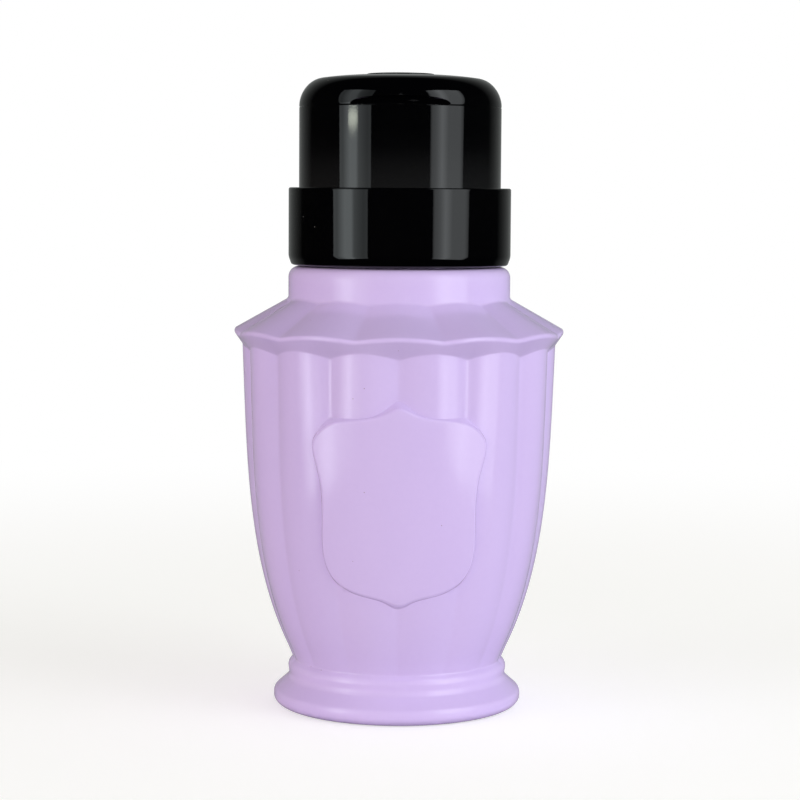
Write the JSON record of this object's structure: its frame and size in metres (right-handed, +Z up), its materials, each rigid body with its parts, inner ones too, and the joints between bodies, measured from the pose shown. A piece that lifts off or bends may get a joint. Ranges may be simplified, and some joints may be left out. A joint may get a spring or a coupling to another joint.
{
  "type": "nail polish remover pump",
  "caption": "Fluted bottle with a screw-on press-dish pump head under a hinged flip lid, for wetting a cotton pad with nail polish remover.",
  "frame": {"origin": "centre of the face that the bottle stands on", "axes": "+Z up along the bottle's axis; the front, with the shield panel and the lid's thumb scoop, faces -Y; the lid's hinge is at +Y"},
  "size_m": [0.074, 0.074, 0.1427],
  "materials": {
    "bottle_plastic": "satin lavender",
    "black_plastic": "gloss black",
    "natural_plastic": "natural, slightly cloudy",
    "tube_plastic": "natural, extruded",
    "seal_rubber": "matte grey",
    "liner_foam": "matte foam",
    "steel": "bright drawn steel"
  },
  "bodies": {
    "bottle": {"bottle_body": "bottle_plastic"},
    "pump_unit": {"neck_gasket": "seal_rubber", "pump_cylinder": "natural_plastic", "dip_tube": "tube_plastic", "ball_cage": "natural_plastic", "return_spring": "steel", "stem_guide": "natural_plastic", "stem_wiper": "seal_rubber", "pump_well": "black_plastic", "housing_shell": "black_plastic", "hinge_pin": "steel"},
    "collar": {"screw_collar": "black_plastic"},
    "lid": {"flip_lid": "black_plastic", "lid_liner": "liner_foam"},
    "plunger": {"press_dish": "black_plastic", "nozzle_insert": "natural_plastic", "piston_stem": "natural_plastic", "piston_seal": "seal_rubber"},
    "inlet_valve": {"inlet_ball": "steel"},
    "outlet_valve": {"outlet_ball": "steel"}
  },
  "joints": [
    {"name": "head_lift", "type": "slide", "parent": "bottle", "child": "pump_unit", "axis": [0, 0, 1], "range_m": [0, 0.0085]},
    {"name": "collar_turn", "type": "hinge", "parent": "pump_unit", "child": "collar", "pos_m": [0, 0, 0.1118], "axis": [0, 0, 1], "range_deg": [0, 720]},
    {"name": "lid_hinge", "type": "hinge", "parent": "pump_unit", "child": "lid", "pos_m": [0, 0.0234, 0.13515], "axis": [-1, 0, 0], "range_deg": [0, 115]},
    {"name": "dish_press", "type": "slide", "parent": "pump_unit", "child": "plunger", "axis": [0, 0, -1], "range_m": [0, 0.006], "stiffness_N_per_m": 900, "springref_m": -0.004, "deforming": ["return_spring"]},
    {"name": "inlet_valve_lift", "type": "slide", "parent": "pump_unit", "child": "inlet_valve", "axis": [0, 0, 1], "range_m": [0, 0.0008]},
    {"name": "outlet_valve_lift", "type": "slide", "parent": "plunger", "child": "outlet_valve", "axis": [0, 0, 1], "range_m": [0, 0.0008]}
  ],
  "couplings": [
    {"joint": "head_lift", "follows": "collar_turn", "m_per_rad": 0.00066845}
  ]
}
